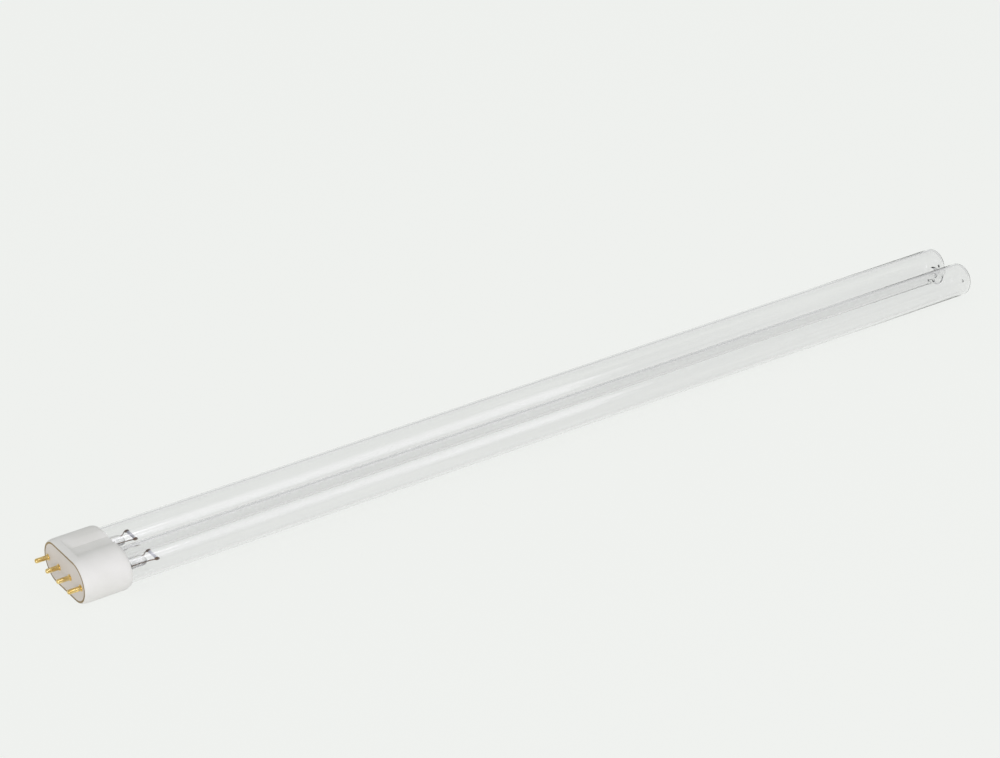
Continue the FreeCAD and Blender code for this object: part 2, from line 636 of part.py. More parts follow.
pieces = [build_discharge_tube(), build_housing(), build_end_plate(), build_adhesive(), build_amalgam_pellet()]
for place, axis, turn, pins in (("rear", LIMB_AXIS, 0, (1, 2)), ("front", "-" + LIMB_AXIS, 180, (3, 4))):
    pieces.append(build_stem("stem_" + place, axis))
    pieces.append(build_filament("filament_" + place, axis))
    pieces.append(build_cement("cement_" + place, axis, turn))
    for pin, side in zip(pins, (1, -1)):
        pin_place = "%.1f * dims.pin_pitch" % (2.5 - pin)
        pieces.append(build_contact_pin("contact_pin_%d" % pin, pin_place))
        pieces.append(build_lead_wire("lead_wire_%d" % pin, axis, pin_place, side))

doc.recompute()
for item in doc.Objects:
    if "Invalid" in item.State or "Error" in item.State:
        raise RuntimeError("%s is %s" % (item.Label, item.State))
for piece in pieces:
    if piece.Shape.isNull() or not piece.Shape.isValid() or len(piece.Shape.Solids) != 1:
        raise RuntimeError("%s is not one valid solid" % piece.Label)

os.makedirs("parts", exist_ok=True)
for piece in pieces:
    piece.Shape.exportStep("parts/%s.step" % piece.Label)
    box = piece.Shape.BoundBox
    print("%-20s volume %9.2f x %7.2f..%7.2f y %6.2f..%6.2f z %6.2f..%6.2f" % (
        piece.Label, piece.Shape.Volume, box.XMin, box.XMax, box.YMin, box.YMax, box.ZMin, box.ZMax,
    ))
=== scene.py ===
import math
import bmesh
import bpy
from mathutils import Matrix, Vector


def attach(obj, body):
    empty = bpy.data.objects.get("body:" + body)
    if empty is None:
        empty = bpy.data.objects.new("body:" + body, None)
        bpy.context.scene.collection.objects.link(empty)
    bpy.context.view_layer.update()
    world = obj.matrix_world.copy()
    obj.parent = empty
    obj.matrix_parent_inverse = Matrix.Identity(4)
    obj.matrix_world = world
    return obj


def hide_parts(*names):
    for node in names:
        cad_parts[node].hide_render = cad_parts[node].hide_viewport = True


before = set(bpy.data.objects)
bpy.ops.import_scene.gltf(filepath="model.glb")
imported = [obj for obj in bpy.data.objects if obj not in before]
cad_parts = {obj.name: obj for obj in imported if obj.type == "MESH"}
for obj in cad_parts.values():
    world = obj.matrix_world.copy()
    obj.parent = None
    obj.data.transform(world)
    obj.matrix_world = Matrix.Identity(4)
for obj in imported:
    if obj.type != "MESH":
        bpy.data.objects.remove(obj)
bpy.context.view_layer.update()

mm = 0.001

# The lamp lies along X: base face at x = 0, far glass ends at x = 535, rear limb at +Y, front limb at -Y.
# The pieces' sizes are in millimetres, stage and lamps are in metres.
limb = {
    "axis": 10.7,            # of each limb, from the middle line
    "radius": 8.75,
    "wall": 1.0,
    "start": 12.0,           # glass end inside the base
    "reach": 535.0,
}


def hexToLinear(code):
    channels = [int(code[i:i + 2], 16) / 255 for i in (1, 3, 5)]
    return [c / 12.92 if c <= 0.04045 else ((c + 0.055) / 1.055) ** 2.4 for c in channels] + [1.0]


def addNode(tree, kind, inputs=None, **settings):
    node = tree.nodes.new(kind)
    for key, setting in settings.items():
        setattr(node, key, setting)
    for key, source in (inputs or {}).items():
        if isinstance(source, bpy.types.NodeSocket):
            tree.links.new(source, node.inputs[key])
        else:
            node.inputs[key].default_value = source
    return node


def newMaterial(name, **shaderInputs):
    material = bpy.data.materials.new(name)
    material.use_nodes = True
    tree = material.node_tree
    tree.nodes.clear()
    inputs = {key.replace("_", " "): given for key, given in shaderInputs.items()}
    return material, tree, addNode(tree, "ShaderNodeBsdfPrincipled", inputs)


def setSurface(tree, surface):
    addNode(tree, "ShaderNodeOutputMaterial", {"Surface": surface})


def noiseOf(tree, grain, detail=2.0, stretch=(1, 1, 1)):
    # noise whose blobs are about grain millimetres across; a stretch under 1 draws them out along that axis
    coords = addNode(tree, "ShaderNodeTexCoord").outputs["Object"]
    placed = addNode(tree, "ShaderNodeMapping", {"Vector": coords, "Scale": stretch})
    return addNode(tree, "ShaderNodeTexNoise", {
        "Vector": placed.outputs["Vector"], "Scale": 1 / (grain * mm), "Detail": detail,
    }).outputs["Fac"]


def rampBetween(tree, factor, stops):
    ramp = addNode(tree, "ShaderNodeValToRGB", {"Fac": factor})
    for element, (place, code) in zip(ramp.color_ramp.elements, stops):
        element.position = place
        element.color = hexToLinear(code)
    return ramp.outputs["Color"]


def raysOf(tree, *kinds):
    # 1 for rays of the named kinds, 0 for all others
    paths = addNode(tree, "ShaderNodeLightPath").outputs
    share = paths[kinds[0]]
    for kind in kinds[1:]:
        share = addNode(tree, "ShaderNodeMath", {0: share, 1: paths[kind]}, operation="MAXIMUM").outputs[0]
    return share


def linkObject(name, data):
    made = bpy.data.objects.new(name, data)
    bpy.context.scene.collection.objects.link(made)
    return made


def makePiece(name, mesh, material, node):
    piece = linkObject(name, mesh)
    mesh.materials.clear()
    mesh.materials.append(material)
    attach(piece, "root")
    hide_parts(node)


def smoothMesh(mesh, sharpDegrees):
    mesh.shade_smooth()
    mesh.set_sharp_from_angle(angle=math.radians(sharpDegrees))


def finishMesh(name, bm, sharpDegrees=35):
    bmesh.ops.remove_doubles(bm, verts=bm.verts, dist=1e-7)
    bmesh.ops.recalc_face_normals(bm, faces=bm.faces)
    mesh = bpy.data.meshes.new(name)
    bm.to_mesh(mesh)
    bm.free()
    smoothMesh(mesh, sharpDegrees)
    return mesh


def bakeModifiers(carrier):
    # the finished mesh of an object, which is then removed with its modifiers
    bpy.context.view_layer.update()
    mesh = bpy.data.meshes.new_from_object(carrier.evaluated_get(bpy.context.evaluated_depsgraph_get()))
    carrier.modifiers.clear()
    bpy.data.objects.remove(carrier)
    return mesh


def skinRings(bm, rings, closed=False):
    # skin over rings of points; a ring of one point closes an end; closed joins the last ring to the first
    vertRings = [[bm.verts.new(Vector(point) * mm) for point in ring] for ring in rings]
    pairs = list(zip(vertRings, vertRings[1:]))
    if closed:
        pairs.append((vertRings[-1], vertRings[0]))
    for one, two in pairs:
        count = max(len(one), len(two))
        for i in range(count):
            j = (i + 1) % count
            corners = [one[i % len(one)], one[j % len(one)], two[j % len(two)], two[i % len(two)]]
            unique = list(dict.fromkeys(corners))
            if len(unique) > 2:
                bm.faces.new(unique)
    return vertRings


def circlePoints(radius, steps):
    turns = [2 * math.pi * i / steps for i in range(steps)]
    return [(radius * math.cos(turn), radius * math.sin(turn)) for turn in turns]


def arcPoints(centre, radius, start, end, count):
    return [
        (centre[0] + radius * math.cos(start + (end - start) * i / count),
         centre[1] + radius * math.sin(start + (end - start) * i / count))
        for i in range(count + 1)
    ]


def latheRings(profile, axisY, steps, axisZ=0.0):
    # rings about a line along X from (x, radius) pairs
    rings = []
    for x, radius in profile:
        if radius < 1e-6:
            rings.append([(x, axisY, axisZ)])
        else:
            rings.append([(x, axisY + y, axisZ + z) for y, z in circlePoints(radius, steps)])
    return rings


def latheObject(name, profile, axisY, steps, axisZ=0.0):
    bm = bmesh.new()
    skinRings(bm, latheRings(profile, axisY, steps, axisZ))
    return linkObject(name, finishMesh(name, bm))


def cappedBlock(name, rings):
    # closed body over open-ended rings, with a flat face at each end
    bm = bmesh.new()
    vertRings = skinRings(bm, rings)
    bm.faces.new(vertRings[0])
    bm.faces.new(vertRings[-1])
    return linkObject(name, finishMesh(name, bm))


def combine(target, tools):
    # joins or cuts each tool into the target in turn
    for operation, tool in tools:
        step = target.modifiers.new("combine", "BOOLEAN")
        step.operation = operation
        step.solver = "EXACT"
        step.object = tool
    mesh = bakeModifiers(target)
    for _, tool in tools:
        bpy.data.objects.remove(tool)
    return mesh


# Camera and floor
camera = {
    "place": (-529.49, -1178.45, 793.72),
    "right": (0.83174, -0.55494, -0.01557),
    "down": (-0.27719, -0.39082, -0.87774),
    "forward": (0.48101, 0.73437, -0.47889),
    "focalPixels": 3247.2,
    "imageWidth": 1000,
    "sensorWidth": 36.0,
    "clip": (0.01, 20),      # metres
}
cameraData = bpy.data.cameras.new("camera")
cameraData.sensor_width = camera["sensorWidth"]
cameraData.sensor_fit = "HORIZONTAL"
cameraData.lens = camera["focalPixels"] / camera["imageWidth"] * camera["sensorWidth"]
cameraData.clip_start, cameraData.clip_end = camera["clip"]
cameraObject = linkObject("camera", cameraData)
turnColumns = [Vector(camera["right"]), -Vector(camera["down"]), -Vector(camera["forward"])]
turnMatrix = Matrix(turnColumns).transposed().to_4x4()
cameraObject.matrix_world = Matrix.Translation(Vector(camera["place"]) * mm) @ turnMatrix
bpy.context.scene.camera = cameraObject
bpy.context.scene.view_settings.view_transform = "Standard"

floorSettings = {
    "size": 12.0,
    "middleX": 0.25,
    "underBase": -11.42,     # millimetres; height below the base
    "underGlass": -8.80,     # height below the far glass ends, so the lamp rests at both ends
    "colour": "#F1F3F0",
    "matt": "#F9FAF8",       # the table top's own paint
    "evenness": 0.92,        # share of the floor's look that is plain tone, so the shadow stays faint
}
slope = (floorSettings["underGlass"] - floorSettings["underBase"]) / (limb["reach"] - limb["start"])
half = floorSettings["size"] / 2
corners = []
for across, y in ((-half, -half), (half, -half), (half, half), (-half, half)):
    x = across + floorSettings["middleX"]
    corners.append((x, y, floorSettings["underBase"] * mm + slope * (x - limb["start"] * mm)))
floorMesh = bpy.data.meshes.new("floor")
floorMesh.from_pydata(corners, [], [(0, 1, 2, 3)])
floorMaterial, tree, paint = newMaterial(
    "pale matt table top", Base_Color=hexToLinear(floorSettings["matt"]), Roughness=0.9,
)
share = addNode(tree, "ShaderNodeMath", {
    0: raysOf(tree, "Is Camera Ray", "Is Glossy Ray", "Is Transmission Ray"), 1: floorSettings["evenness"],
}, operation="MULTIPLY")
glow = addNode(tree, "ShaderNodeEmission", {"Color": hexToLinear(floorSettings["colour"]), "Strength": 1.0})
both = addNode(tree, "ShaderNodeMixShader", {
    "Fac": share.outputs[0], 1: paint.outputs["BSDF"], 2: glow.outputs["Emission"],
})
setSurface(tree, both.outputs["Shader"])
floorMesh.materials.append(floorMaterial)
linkObject("floor", floorMesh)
print("camera and floor set")


# Light: a broad panel from the front, two that draw the streak on the tubes,
# a small one that glints on the pins, and a pale room
lights = {
    "world": {"colour": "#F1F2F3", "strength": 0.64, "mirrored": 0.74, "backdrop": 0.98},
    "panels": {              # place, aim, size and watts
        "front": ((-0.9, -1.3, 0.5), (0.1, 0.0, 0.0), (1.0, 0.8), 9.4),
        "pinGlint": ((0.384, -0.66, 0.79), (0.0, 0.0, 0.0), (0.1, 0.28), 0.3),
        "streak": ((0.66, -0.74, 0.76), (0.66, 0.0, 0.0), (0.6, 0.36), 0.42),
        "softStreak": ((0.64, -0.8, 0.8), (0.64, 0.0, 0.0), (0.66, 0.85), 1.4),
    },
    "panelColour": "#FBF6FF",
}
world = bpy.data.worlds.new("pale room")
world.use_nodes = True
tree = world.node_tree
tree.nodes.clear()
mirrored = addNode(tree, "ShaderNodeMapRange", {
    "Value": raysOf(tree, "Is Glossy Ray", "Is Transmission Ray"),
    "To Min": lights["world"]["strength"], "To Max": lights["world"]["mirrored"],
})
strength = addNode(tree, "ShaderNodeMapRange", {
    "Value": raysOf(tree, "Is Camera Ray"),
    "To Min": mirrored.outputs["Result"], "To Max": lights["world"]["backdrop"],
})
background = addNode(tree, "ShaderNodeBackground", {
    "Color": hexToLinear(lights["world"]["colour"]), "Strength": strength.outputs["Result"],
})
addNode(tree, "ShaderNodeOutputWorld", {"Surface": background.outputs["Background"]})
bpy.context.scene.world = world
for name, (place, aim, size, watts) in lights["panels"].items():
    lamp = bpy.data.lights.new(name, "AREA")
    lamp.shape = "RECTANGLE"
    lamp.size, lamp.size_y = size
    lamp.energy = watts
    lamp.color = hexToLinear(lights["panelColour"])[:3]
    turn = (Vector(aim) - Vector(place)).to_track_quat("-Z", "Y").to_matrix().to_4x4()
    linkObject(name, lamp).matrix_world = Matrix.Translation(place) @ turn
print("light set")


# Materials
patterns = {                 # sizes in millimetres
    "clouding": 14.0,        # uneven tone of a moulding or a paste
    "bump": 0.5,             # share of a grain's depth that shows
    "tarnish": 0.8,          # coarser than on a real wire, so that it shows at all
    "drawn": (0.2, 1, 1),    # streaks five times as long as wide, along the wire
    "drawnGlass": (0.02, 1, 1),      # faint lines along the whole tube
}


def makeClearGlass(name, light, dark, ior, haze, grain, stretch=(1, 1, 1)):
    # water clear glass, told by its darker edges and long soft streak; drawing leaves very faint lengthwise
    # lines in it, pressing a slight milky swirl
    material, tree, shader = newMaterial(name, IOR=ior, Transmission_Weight=1.0)
    lines = noiseOf(tree, grain, 2.0, stretch)
    tree.links.new(rampBetween(tree, lines, [(0.35, dark), (0.65, light)]), shader.inputs["Base Color"])
    milk = addNode(tree, "ShaderNodeMapRange", {"Value": lines, "To Min": haze[0], "To Max": haze[1]})
    tree.links.new(milk.outputs["Result"], shader.inputs["Roughness"])
    # lamp light goes straight through, hardly tinted, so the tubes throw only a faint shadow
    clear = addNode(tree, "ShaderNodeBsdfTransparent", {"Color": hexToLinear("#F0F2F4")})
    both = addNode(tree, "ShaderNodeMixShader", {
        "Fac": raysOf(tree, "Is Shadow Ray"), 1: shader.outputs["BSDF"], 2: clear.outputs["BSDF"],
    })
    setSurface(tree, both.outputs["Shader"])
    return material


def makeMoulded(name, light, dark, roughness, grain, depth):
    # matt body colour with a slightly uneven tone, and the fine grain of the mould or of the cured paste
    material, tree, shader = newMaterial(name, Roughness=roughness)
    tone = rampBetween(tree, noiseOf(tree, patterns["clouding"], 3.0), [(0.35, dark), (0.65, light)])
    tree.links.new(tone, shader.inputs["Base Color"])
    bump = addNode(tree, "ShaderNodeBump", {
        "Height": noiseOf(tree, grain), "Distance": depth * mm, "Strength": patterns["bump"],
    })
    tree.links.new(bump.outputs["Normal"], shader.inputs["Normal"])
    setSurface(tree, shader.outputs["BSDF"])
    return material


def makeMetal(name, light, dark, roughness, stretch=(1, 1, 1)):
    # bare metal with a slight uneven tarnish, which drawing leaves as fine lengthwise streaks
    material, tree, shader = newMaterial(name, Metallic=1.0, Roughness=roughness)
    tone = rampBetween(tree, noiseOf(tree, patterns["tarnish"], 3.0, stretch), [(0.3, dark), (0.7, light)])
    tree.links.new(tone, shader.inputs["Base Color"])
    setSurface(tree, shader.outputs["BSDF"])
    return material


# smooth and colourless, it is seen by its edges and one long streak
tubeGlass = makeClearGlass(
    "fused quartz tube", "#FAFAFA", "#F7F7F7", 1.45, (0.0, 0.0), 2.5, patterns["drawnGlass"],
)
# milkier than the tube, where pressing has left it uneven
stemGlass = makeClearGlass("pressed stem glass", "#FEFEFE", "#F4F5F6", 1.38, (0.14, 0.34), 1.6)
# warm white, matt, with soft shading and no clear highlight
basePlastic = makeMoulded("moulded white polyester", "#EFEFEA", "#E9E9E3", 0.55, 0.35, 0.02)
# a little darker and browner than the shell, quite flat in tone
platePlastic = makeMoulded("moulded beige plate", "#E2DCD2", "#DBD5CB", 0.6, 0.3, 0.02)
# olive brown line with a slight shine
brownResin = makeMoulded("brown cured resin", "#94793A", "#7A612C", 0.35, 0.8, 0.06)
# dry and porous, dull from every side
bakedCement = makeMoulded("baked basing cement", "#BDB29D", "#A89C86", 0.9, 0.5, 0.08)
# chalky pale grey
coilCoating = makeMoulded("oxide coated coil", "#D3D5D9", "#B4B7BE", 0.8, 0.1, 0.02)
# bright gold with a narrow highlight along the pin
pinBrass = makeMetal("drawn brass", "#F6DFA0", "#D4B060", 0.2, patterns["drawn"])
# dark brown from the heat of sealing, with a soft shine
leadNickel = makeMetal("heat browned nickel wire", "#8C7666", "#5C483C", 0.35, patterns["drawn"])
# silver gone dull
dullAmalgam = makeMetal("dull amalgam", "#B9BDC2", "#8D9196", 0.45)
print("materials made")


# Glass body: both limbs with their flares and domes, and the hollow bridge, fused by booleans
glass = {
    "steps": 128,
    "domeRadius": 25.0,
    "cornerRadius": 3.5,     # between the limb's side and the dome
    "arcSteps": 12,
    "rimBore": 7.4,          # mouth of the flare at the near end
    "rimRound": 0.7,
    "rimSteps": 5,
    "sides": (20, 60, 150, 300, 450, 524),
    "borePast": 1.0,         # how far the bore's cutting body reaches past the glass end
    "boreStart": 14.2,
    "boreSides": (20, 60, 150, 300, 450),
    "flareMouth": [(13.0, 6.3), (14.0, 5.25), (15.0, 4.4), (16.5, 3.6)],
    "flareBack": [(16.5, 4.4), (15.4, 5.0), (14.5, 5.9), (13.7, 6.9), (13.3, 7.5)],
    "bridgeSetback": 11.0,
    "bridgeRadius": 4.0,
    "bridgeBore": 2.8,
    "bridgeSteps": 96,
    "pipRadius": 0.85,       # bead of glass left on the inside where each dome was closed
    "pipSetback": 1.15,
    "pipSteps": 24,
    "pips": {"pipRear": (8.5, -0.8), "pipFront": (-11.1, -1.7)},
    "sharpDegrees": 35,
}


def domeProfile(inset):
    # rounded corner and shallow dome of the far end, moved inwards by inset
    dome, corner, count = glass["domeRadius"], glass["cornerRadius"], glass["arcSteps"]
    rise = limb["radius"] - corner
    run = math.sqrt((dome - corner) ** 2 - rise ** 2)
    centreX = limb["reach"] - dome
    tilt = math.atan2(rise, run)
    bend = arcPoints((centreX + run, rise), corner - inset, math.pi / 2, tilt, count)
    return bend + arcPoints((centreX, 0), dome - inset, tilt, 0, count)[1:]


def outerLimbProfile():
    start, radius, rim = limb["start"], limb["radius"], glass["rimRound"]
    profile = [(start, 0.0), (start, glass["rimBore"])]
    profile += arcPoints((start + rim, radius - rim), rim, math.pi, math.pi / 2, glass["rimSteps"])
    profile += [(x, radius) for x in glass["sides"]]
    return profile + domeProfile(0.0)


def innerLimbProfile():
    bore = limb["radius"] - limb["wall"]
    outside = limb["start"] - glass["borePast"]
    profile = [(outside, 0.0), (outside, glass["rimBore"]), (limb["start"], glass["rimBore"])]
    profile += glass["flareMouth"] + glass["flareBack"]
    profile += [(x, bore) for x in (glass["boreStart"], *glass["boreSides"])]
    return profile + domeProfile(limb["wall"])


def rodAcross(name, radius):
    # rod along Y from one limb's axis to the other's
    x, end = limb["reach"] - glass["bridgeSetback"], limb["axis"]
    section = circlePoints(radius, glass["bridgeSteps"])
    rings = [[(x + across, y, up) for across, up in section] for y in (-end, end)]
    bm = bmesh.new()
    skinRings(bm, [[(x, -end, 0)], *rings, [(x, end, 0)]])
    return linkObject(name, finishMesh(name, bm))


def makeGlassBody():
    axis, steps = limb["axis"], glass["steps"]
    tools = [
        ("UNION", latheObject("limbFront", outerLimbProfile(), -axis, steps)),
        ("UNION", rodAcross("bridgeOutside", glass["bridgeRadius"])),
        ("DIFFERENCE", latheObject("boreRear", innerLimbProfile(), axis, steps)),
        ("DIFFERENCE", latheObject("boreFront", innerLimbProfile(), -axis, steps)),
        ("DIFFERENCE", rodAcross("bridgeInside", glass["bridgeBore"])),
    ]
    pipX = limb["reach"] - glass["pipSetback"]
    ball = arcPoints((pipX, 0), glass["pipRadius"], math.pi, 0, glass["arcSteps"])
    for name, (y, z) in glass["pips"].items():
        tools.append(("UNION", latheObject(name, ball, y, glass["pipSteps"], z)))
    mesh = combine(latheObject("limbRear", outerLimbProfile(), axis, steps), tools)
    mesh.name = "glass_body"
    smoothMesh(mesh, glass["sharpDegrees"])
    makePiece("glass_body", mesh, tubeGlass, "discharge_tube")


makeGlassBody()
print("glass body made")


# Stems: a tube pinched to a flat press, hollow up to the taper, with the sealed exhaust tube inside
stem = {
    "start": 16.5,
    "offset": 0.2,
    "radius": 4.4,
    "bore": 3.6,
    "tubeRings": (18, 20, 22, 23),
    "taperStart": 23.8,
    "taperRings": 10,
    "pressStart": 28.3,
    "pressRings": (30, 31.5),
    "tip": 36.3,
    "tipRound": 3.2,
    "tipRings": 10,
    "tipThinning": 0.2,      # share of the tip's rounding that also thins the press
    "halfWidth": 4.2,
    "halfThickness": 1.2,
    "squareness": 1.2,       # 0 leaves the press oval
    "crown": [(22.0, 3.6), (23.0, 3.4), (23.6, 3.0), (23.9, 2.4)],      # end of the hollow
    "exhaustRadius": 1.5,
    "exhaustEnd": 24.0,
    "exhaustTip": [(7.4, 1.5), (6.9, 1.3), (6.6, 0.8), (6.5, 0.0)],     # melted shut behind the limb's end
    "steps": 72,
    "sharpDegrees": 50,
}


def ease(t):
    t = min(max(t, 0.0), 1.0)
    return t * t * (3 - 2 * t)


def stemRing(x, axisY):
    blend = ease((x - stem["taperStart"]) / (stem["pressStart"] - stem["taperStart"]))
    across = stem["radius"] + (stem["halfWidth"] - stem["radius"]) * blend
    up = stem["radius"] + (stem["halfThickness"] - stem["radius"]) * blend
    power = 2.0 + stem["squareness"] * blend     # round at the tube, a little squarer at the press
    bend, left = stem["tipRound"], stem["tip"] - x
    if left < bend:
        drop = bend - math.sqrt(max(bend ** 2 - (bend - left) ** 2, 0.0))
        across -= drop
        up -= drop * stem["tipThinning"]
    ring = []
    for c, s in circlePoints(1.0, stem["steps"]):
        y = across * math.copysign(abs(c) ** (2 / power), c)
        z = up * math.copysign(abs(s) ** (2 / power), s)
        ring.append((x, axisY + y, z))
    return ring


def makeStem(name, side, node):
    axisY = side * limb["axis"] + stem["offset"]
    taper, count, bend = stem["pressStart"] - stem["taperStart"], stem["taperRings"], stem["tipRound"]
    stations = [stem["start"], *stem["tubeRings"], stem["taperStart"]]
    stations += [stem["taperStart"] + taper * (i + 1) / count for i in range(count)]
    stations += [*stem["pressRings"], stem["tip"] - bend]
    for i in range(stem["tipRings"]):
        stations.append(stem["tip"] - bend * (1 - math.sin((i + 1) * math.pi / 2 / stem["tipRings"])))
    outside = [stemRing(x, axisY) for x in stations] + [[(stem["tip"], axisY, 0)]]
    hollow = [(stem["start"], stem["bore"]), *stem["crown"], (stem["exhaustEnd"], stem["exhaustRadius"])]
    inside = latheRings(hollow + stem["exhaustTip"], axisY, stem["steps"])
    bm = bmesh.new()
    skinRings(bm, inside[::-1] + outside)
    makePiece(name, finishMesh(name, bm, stem["sharpDegrees"]), stemGlass, node)


makeStem("stem_glass_rear", 1, "stem_rear")
makeStem("stem_glass_front", -1, "stem_front")
print("stems made")


# Leads: bent wires from the pins through the press to the clamps
lead = {
    "radius": 0.25,
    "pressRadius": 0.15,     # the seal wire through the press is thinner
    "sealStart": 22.5,
    "sealRun": 2.0,
    "sealEnd": 1.0,          # thickens again this far inside the press's tip
    "sealEndRun": 1.2,
    "pinPitch": 11.0,
    "start": 3.83,
    "straight": 1.0,         # behind a pin and beside a press
    "pressSpacing": 5.8,
    "coilOffset": 1.0,       # coil centre off the stem axis, towards +Y
    "bend": 1.2,
    "bendShare": 0.45,       # most of a run that one bend may take up
    "bendSteps": 6,
    "steps": 16,
}

clamp = {
    "spacing": 8.62,
    "start": 39.8,
    "end": 41.95,
    "halfWidth": 0.5,
    "halfHeight": 0.55,
    "thickness": 0.34,       # of the flattened wire
    "root": 0.5,             # straight wire before and inside the clamp's start
    "neck": 0.28,
    "shoulder": 0.5,
    "foldSteps": 10,
    "slotStart": 0.9,
    "slotSteps": 8,
}


def pinPlace(number):
    # pins 1 to 4 from the rear to the front, evenly about the middle line
    return (2.5 - number) * lead["pinPitch"]


def leadRadius(x):
    thinned = ease((x - lead["sealStart"]) / lead["sealRun"])
    thinned -= ease((x - stem["tip"] + lead["sealEnd"]) / lead["sealEndRun"])
    return lead["radius"] + (lead["pressRadius"] - lead["radius"]) * thinned


def addWire(bm, points):
    # round wire along a smooth run of points that stays in one level plane
    rings = []
    for i, (x, y) in enumerate(points):
        before, after = points[max(i - 1, 0)], points[min(i + 1, len(points) - 1)]
        along = Vector((after[0] - before[0], after[1] - before[1])).normalized()
        rings.append([
            (x - along.y * side, y + along.x * side, up)
            for side, up in circlePoints(leadRadius(x), lead["steps"])
        ])
    skinRings(bm, [[(*points[0], 0)], *rings, [(*points[-1], 0)]])


def softRoute(corners):
    # straight runs with each corner replaced by a short smooth curve
    longest, share, steps = lead["bend"], lead["bendShare"], lead["bendSteps"]
    route = [corners[0]]
    for before, corner, after in zip(corners, corners[1:], corners[2:]):
        p0, p1, p2 = Vector(before), Vector(corner), Vector(after)
        start = p1 + (p0 - p1).normalized() * min(longest, (p1 - p0).length * share)
        end = p1 + (p2 - p1).normalized() * min(longest, (p2 - p1).length * share)
        for i in range(steps + 1):
            t = i / steps
            route.append(tuple((1 - t) ** 2 * start + 2 * t * (1 - t) * p1 + t * t * end))
    return route + [corners[-1]]


def addClamp(bm, clampY):
    # the wire's flattened end, folded back over the coil's leg
    start, height, thickness = clamp["start"], clamp["halfHeight"], clamp["thickness"]
    foldX, slotX = clamp["end"] - height, start + clamp["slotStart"]
    outline = [(start, clamp["neck"]), (start + clamp["shoulder"], height)]
    outline += arcPoints((foldX, 0), height, math.pi / 2, -math.pi / 2, clamp["foldSteps"])
    outline += [(start + clamp["shoulder"], -height), (start, -clamp["neck"])]
    slot = arcPoints((foldX, 0), height - thickness, -math.pi / 2, math.pi / 2, clamp["slotSteps"])
    slot += [(slotX, height - thickness), (slotX, thickness - height)]
    sides = (clampY - clamp["halfWidth"], clampY + clamp["halfWidth"])
    loops = []
    for points in (outline, slot):
        loop = [[bm.verts.new(Vector((x, y, z)) * mm) for y in sides] for x, z in points]
        loops.append(list(zip(loop, loop[1:] + loop[:1])))
        for one, two in loops[-1]:
            bm.faces.new((one[0], one[1], two[1], two[0]))
    for end in (0, 1):
        edges = [bm.edges.get((one[end], two[end])) for loop in loops for one, two in loop]
        bmesh.ops.triangle_fill(bm, edges=edges, use_beauty=True)


def makeLead(number, limbSide, side):
    pinY = pinPlace(number)
    stemY = limbSide * limb["axis"] + stem["offset"]
    pressY = stemY + side * lead["pressSpacing"] / 2
    clampY = stemY + lead["coilOffset"] + side * clamp["spacing"] / 2
    corners = [(x, pinY) for x in (lead["start"], lead["start"] + lead["straight"])]
    corners += [(x, pressY) for x in (
        stem["start"] - lead["straight"], lead["sealStart"], lead["sealStart"] + lead["sealRun"],
        stem["tip"] - lead["straight"], stem["tip"] + lead["straight"],
    )]
    corners += [(clamp["start"] + gap, clampY) for gap in (-clamp["root"], clamp["root"])]
    bm = bmesh.new()
    addWire(bm, softRoute(corners))
    addClamp(bm, clampY)
    name = "lead_%d" % number
    makePiece(name, finishMesh(name, bm), leadNickel, "lead_wire_%d" % number)


for number, limbSide, side in ((1, 1, 1), (2, 1, -1), (3, -1, 1), (4, -1, -1)):
    makeLead(number, limbSide, side)
print("leads made")


# Coils: geometry nodes wind the coated helix between the clamps
coil = {
    "turns": 13,
    "radius": 0.5,
    "wireRadius": 0.2,
    "length": 6.8,
    "place": 41.4,
    "stepsPerTurn": 20,
    "legLength": 1.4,
    "legRadius": 0.12,
    "legLap": 0.15,          # leg into the winding
    "sides": 10,
}


def makeCoilTree():
    tree = bpy.data.node_groups.new("coilWinding", "GeometryNodeTree")
    for label, kind in (
        ("Geometry", "Geometry"), ("Turns", "Float"), ("Radius", "Float"), ("Length", "Float"),
        ("Wire radius", "Float"), ("Steps", "Int"), ("Finish", "Material"),
    ):
        tree.interface.new_socket(label, in_out="INPUT", socket_type="NodeSocket" + kind)
    tree.interface.new_socket("Geometry", in_out="OUTPUT", socket_type="NodeSocketGeometry")
    given = addNode(tree, "NodeGroupInput").outputs
    spiral = addNode(tree, "GeometryNodeCurveSpiral", {
        "Resolution": given["Steps"], "Rotations": given["Turns"], "Start Radius": given["Radius"],
        "End Radius": given["Radius"], "Height": given["Length"],
    })
    ring = addNode(tree, "GeometryNodeCurvePrimitiveCircle", {
        "Resolution": coil["sides"], "Radius": given["Wire radius"],
    }, mode="RADIUS")
    wire = addNode(tree, "GeometryNodeCurveToMesh", {
        "Curve": spiral.outputs["Curve"], "Profile Curve": ring.outputs["Curve"], "Fill Caps": True,
    })
    made = addNode(tree, "GeometryNodeRealizeInstances", {"Geometry": wire.outputs["Mesh"]})
    dressed = addNode(tree, "GeometryNodeSetMaterial", {
        "Geometry": made.outputs["Geometry"], "Material": given["Finish"],
    })
    addNode(tree, "NodeGroupOutput", {"Geometry": dressed.outputs["Geometry"]})
    return tree


coilTree = makeCoilTree()


